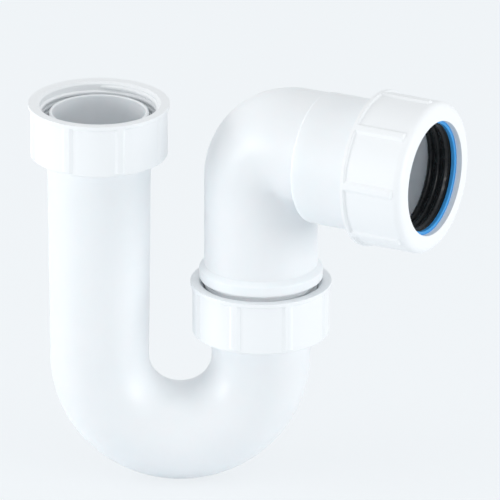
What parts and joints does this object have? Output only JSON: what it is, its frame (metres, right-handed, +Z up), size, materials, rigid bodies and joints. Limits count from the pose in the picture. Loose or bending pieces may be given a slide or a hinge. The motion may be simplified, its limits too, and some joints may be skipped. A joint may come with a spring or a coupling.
{
  "type": "swivel p-trap",
  "caption": "White plastic bathroom P-trap: U-bend with a threaded inlet nut, a swivel joint and a turnable elbow with a push-in outlet.",
  "frame": {"origin": "on the inlet's axis, on the washer's top face where the end of the waste's tail seats", "axes": "+Z up along the inlet, +X from the inlet's axis towards the swivel joint's axis"},
  "size_m": [0.179, 0.0932, 0.1765],
  "materials": {
    "polypropylene": "satin",
    "nut_polypropylene": "satin",
    "washer_polythene": "matt",
    "slip_ring_nylon": "satin",
    "seal_rubber": "satin"
  },
  "bodies": {
    "inlet_nut": {"inlet_nut": "nut_polypropylene"},
    "inlet_washer": {"inlet_washer": "washer_polythene"},
    "trap_bend": {"u_bend": "polypropylene"},
    "swivel_nut": {"swivel_nut": "nut_polypropylene"},
    "swivel_washer": {"swivel_washer": "washer_polythene"},
    "elbow": {"outlet_elbow": "polypropylene", "outlet_seal": "seal_rubber"},
    "slip_ring": {"slip_ring": "slip_ring_nylon"},
    "outlet_nut": {"outlet_nut": "nut_polypropylene"}
  },
  "joints": [
    {"name": "inlet_slide", "type": "slide", "parent": "inlet_nut", "child": "inlet_washer", "axis": [0, 0, 1], "range_m": [0, 0.07]},
    {"name": "inlet_swivel", "type": "hinge", "parent": "inlet_washer", "child": "trap_bend", "pos_m": [0, 0, 0], "axis": [0, 0, 1], "continuous": true},
    {"name": "swivel_nut_turn", "type": "hinge", "parent": "trap_bend", "child": "swivel_nut", "pos_m": [0.066, 0, -0.0772], "axis": [0, 0, -1], "range_deg": [0, 2160]},
    {"name": "elbow_lift", "type": "slide", "parent": "trap_bend", "child": "swivel_washer", "axis": [0, 0, 1], "range_m": [0, 0.0139]},
    {"name": "elbow_swivel", "type": "hinge", "parent": "swivel_washer", "child": "elbow", "pos_m": [0.066, 0, -0.0772], "axis": [0, 0, 1], "range_deg": [-90, 146]},
    {"name": "outlet_nut_travel", "type": "slide", "parent": "elbow", "child": "slip_ring", "axis": [0.8829, -0.4695, 0], "range_m": [0, 0.0128]},
    {"name": "outlet_nut_turn", "type": "hinge", "parent": "slip_ring", "child": "outlet_nut", "pos_m": [0.13425, -0.03629, -0.0044], "axis": [0.8829, -0.4695, 0], "range_deg": [0, 1440]}
  ],
  "couplings": [
    {"joint": "elbow_lift", "follows": "swivel_nut_turn", "m_per_rad": 0.00036749},
    {"joint": "outlet_nut_travel", "follows": "outlet_nut_turn", "m_per_rad": 0.00050532}
  ]
}
